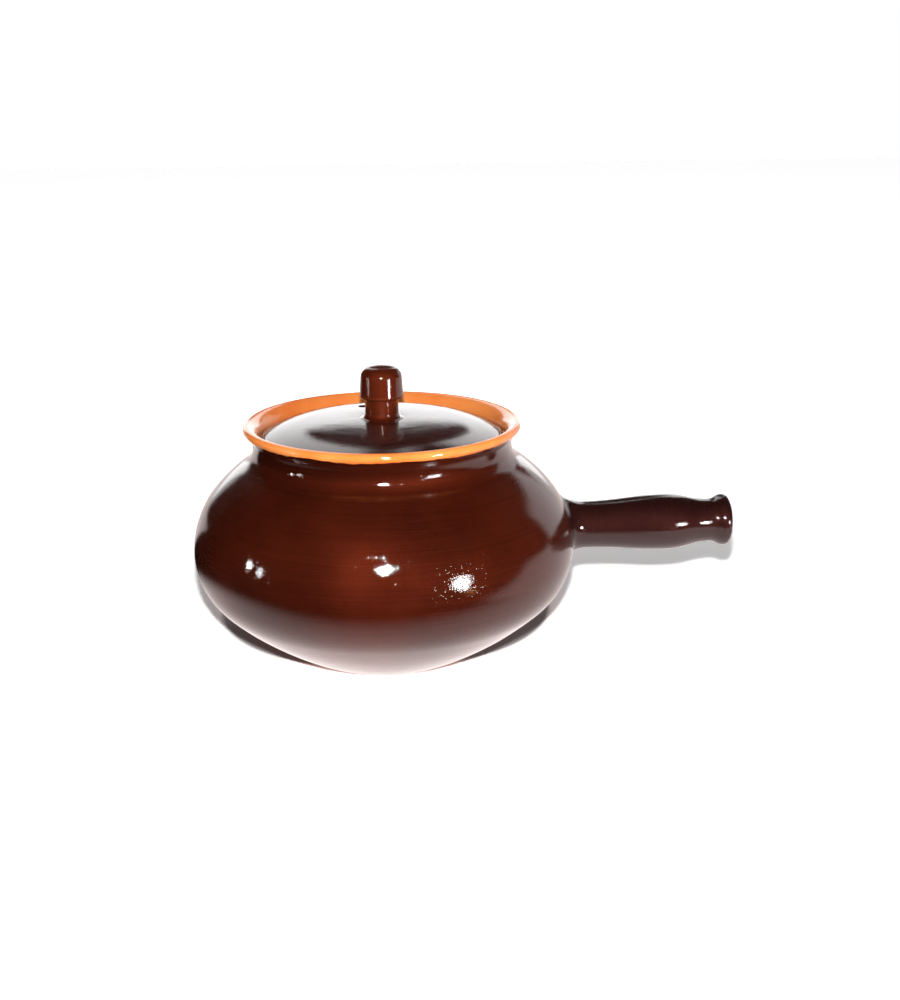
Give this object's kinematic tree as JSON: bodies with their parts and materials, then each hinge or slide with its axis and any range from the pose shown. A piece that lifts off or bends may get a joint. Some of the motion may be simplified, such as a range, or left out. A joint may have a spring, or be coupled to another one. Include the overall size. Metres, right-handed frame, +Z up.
{
  "type": "terracotta cooking pot",
  "caption": "Round-bellied glazed terracotta cooking pot with a flared lip, one hollow side handle and a domed lid with a knob.",
  "frame": {"origin": "centre of the flat foot, on the pot's axis, at table level", "axes": "+Z up along the pot's axis, +X along the handle, away from the pot"},
  "size_m": [0.398, 0.278, 0.2128],
  "materials": {
    "brown_glaze": "glossy reddish-brown glaze over terracotta, with a clear-glazed orange lip and inside and a bare clay foot",
    "handle_glaze": "glossy reddish-brown glaze over terracotta",
    "lid_glaze": "glossy reddish-brown glaze on top, clear glaze over orange clay underneath",
    "knob_glaze": "glossy reddish-brown glaze over terracotta"
  },
  "bodies": {
    "pot": {"pot_bowl": "brown_glaze", "pot_shoulder": "brown_glaze", "pot_neck": "brown_glaze", "handle": "handle_glaze"},
    "lid": {"lid": "lid_glaze", "lid_knob": "knob_glaze"}
  },
  "joints": [
    {"name": "lid_lift", "type": "slide", "parent": "pot", "child": "lid", "axis": [0, 0, 1], "range_m": [0, 0.12]}
  ]
}
